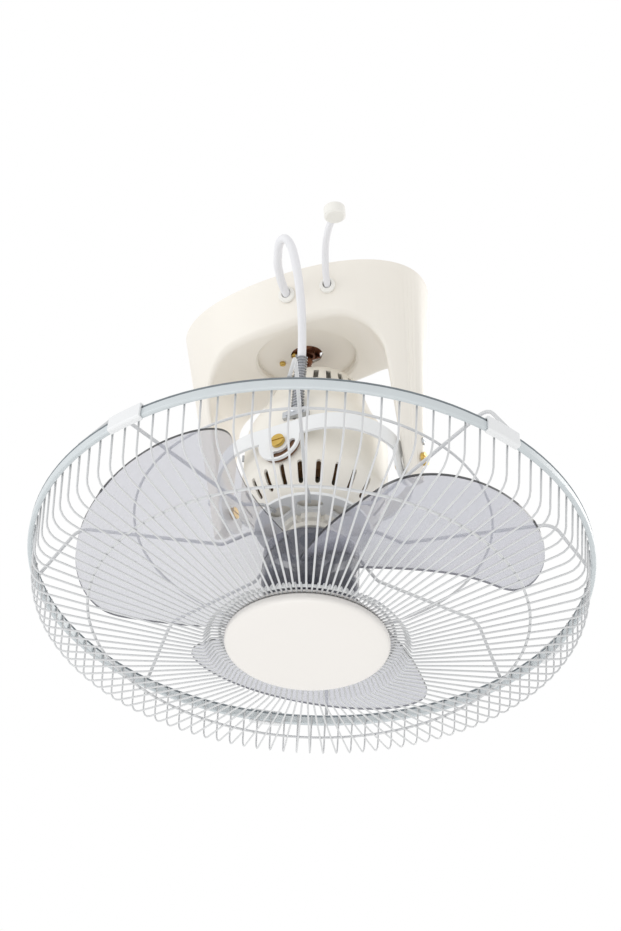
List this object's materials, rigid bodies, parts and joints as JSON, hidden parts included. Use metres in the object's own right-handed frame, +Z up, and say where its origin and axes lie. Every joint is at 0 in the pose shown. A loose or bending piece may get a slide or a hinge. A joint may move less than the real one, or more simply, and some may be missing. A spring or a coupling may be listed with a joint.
{
  "type": "ceiling orbit fan",
  "caption": "Ceiling fan with a wire-guarded head that swings in a conical orbit on a gimbal strap under a two-legged canopy.",
  "frame": {"origin": "middle of the canopy's ceiling face", "axes": "+X along the leg-to-leg swing axis, -Y the front with the flex loop, +Z up into the ceiling"},
  "size_m": [0.458, 0.452, 0.3596],
  "materials": {
    "canopy_paint": "smooth cream ivory moulding, satin gloss",
    "motor_paint": "cream enamel, satin gloss",
    "cap_plastic": "ivory moulding, semi gloss",
    "strap_paint": "white enamel",
    "wire_coat": "white plastic-coated steel wire",
    "rim_coat": "silvery white coated steel",
    "rim_edge": "bare edge of the steel rim band",
    "zinc_steel": "zinc-plated pressed steel",
    "bright_steel": "ground steel",
    "brass_plate": "yellow passivated steel and brass",
    "copper_plate": "copper-brown plated steel",
    "winding_copper": "enamelled copper wire",
    "lamination": "stacked electrical steel",
    "cast_alloy": "as-cast alloy",
    "gear_nylon": "natural nylon",
    "white_plastic": "white moulding",
    "cord_jacket": "white flexible vinyl jacket",
    "buffer_rubber": "dark brown rubber",
    "smoke_clear": "smoky clear moulding",
    "blade_clear": "pale smoky clear moulding",
    "dark_plastic": "dark grey moulding"
  },
  "bodies": {
    "canopy": {"canopy_shell": "canopy_paint", "mounting_plate": "zinc_steel", "yoke_frame": "zinc_steel", "crank_socket": "copper_plate", "socket_screws": "brass_plate", "flex_grommet": "white_plastic", "supply_grommet": "white_plastic", "leg_screws": "zinc_steel", "swing_bolt_left": "brass_plate", "swing_bolt_right": "brass_plate", "leg_washers": "white_plastic", "terminal_block": "white_plastic", "run_capacitor": "white_plastic", "supply_cord": "cord_jacket", "ceiling_fitting": "white_plastic", "flex_loop": "cord_jacket"},
    "gimbal": {"gimbal_strap": "strap_paint"},
    "head": {"motor_front_cover": "motor_paint", "motor_rear_cover": "motor_paint", "cover_screws": "zinc_steel", "tilt_screws": "brass_plate", "rubber_buffers": "buffer_rubber", "stator_core": "lamination", "stator_windings": "winding_copper", "gear_plate": "cast_alloy", "gear_bridge": "cast_alloy", "front_bearing": "bright_steel", "flex_spring": "bright_steel", "spring_clamp": "zinc_steel", "clamp_screws": "zinc_steel", "guard_plate": "strap_paint", "guard_nut": "motor_paint", "rear_arms": "wire_coat", "rear_ring": "wire_coat", "rear_rim": "rim_edge", "front_rim": "rim_coat", "front_wires": "wire_coat", "front_rings": "wire_coat", "centre_cap": "cap_plastic", "cap_retainer": "cap_plastic", "cap_screw": "zinc_steel", "guard_clips": "wire_coat"},
    "rotor": {"rotor_shaft": "bright_steel", "rotor_core": "lamination", "blade_hub": "smoke_clear", "blade_a": "blade_clear", "blade_b": "blade_clear", "blade_c": "blade_clear", "drive_pin": "bright_steel", "spinner_nut": "dark_plastic"},
    "cross_gear": {"cross_shaft": "bright_steel", "cross_wheel": "gear_nylon"},
    "idler_gear": {"idler_shaft": "bright_steel", "idler_wheel": "gear_nylon"},
    "crank": {"crank_gear": "gear_nylon", "crank_arm": "copper_plate"}
  },
  "joints": [
    {"name": "gimbal_swing", "type": "hinge", "parent": "canopy", "child": "gimbal", "pos_m": [0, 0, -0.183], "axis": [1, 0, 0], "range_deg": [0, 23], "deforming": ["flex_loop"]},
    {"name": "head_swing", "type": "hinge", "parent": "gimbal", "child": "head", "pos_m": [0, 0, -0.183], "axis": [0, 0.9799, -0.1994], "range_deg": [-11.5, 11.5]},
    {"name": "rotor_spin", "type": "hinge", "parent": "head", "child": "rotor", "pos_m": [0, 0, -0.183], "axis": [0, 0.1994, 0.9799], "continuous": true},
    {"name": "cross_gear_spin", "type": "hinge", "parent": "head", "child": "cross_gear", "pos_m": [0, 0.0241, -0.12974], "axis": [1, 0, 0], "continuous": true},
    {"name": "idler_gear_spin", "type": "hinge", "parent": "head", "child": "idler_gear", "pos_m": [0.018, 0.01136, -0.12714], "axis": [0, 0.1994, 0.9799], "continuous": true},
    {"name": "crank_spin", "type": "hinge", "parent": "head", "child": "crank", "pos_m": [0, 0, -0.183], "axis": [0, 0.1994, 0.9799], "continuous": true}
  ],
  "couplings": [
    {"joint": "cross_gear_spin", "follows": "rotor_spin", "ratio": 0.11111},
    {"joint": "idler_gear_spin", "follows": "rotor_spin", "ratio": 0.013889},
    {"joint": "crank_spin", "follows": "rotor_spin", "ratio": -0.006944}
  ]
}
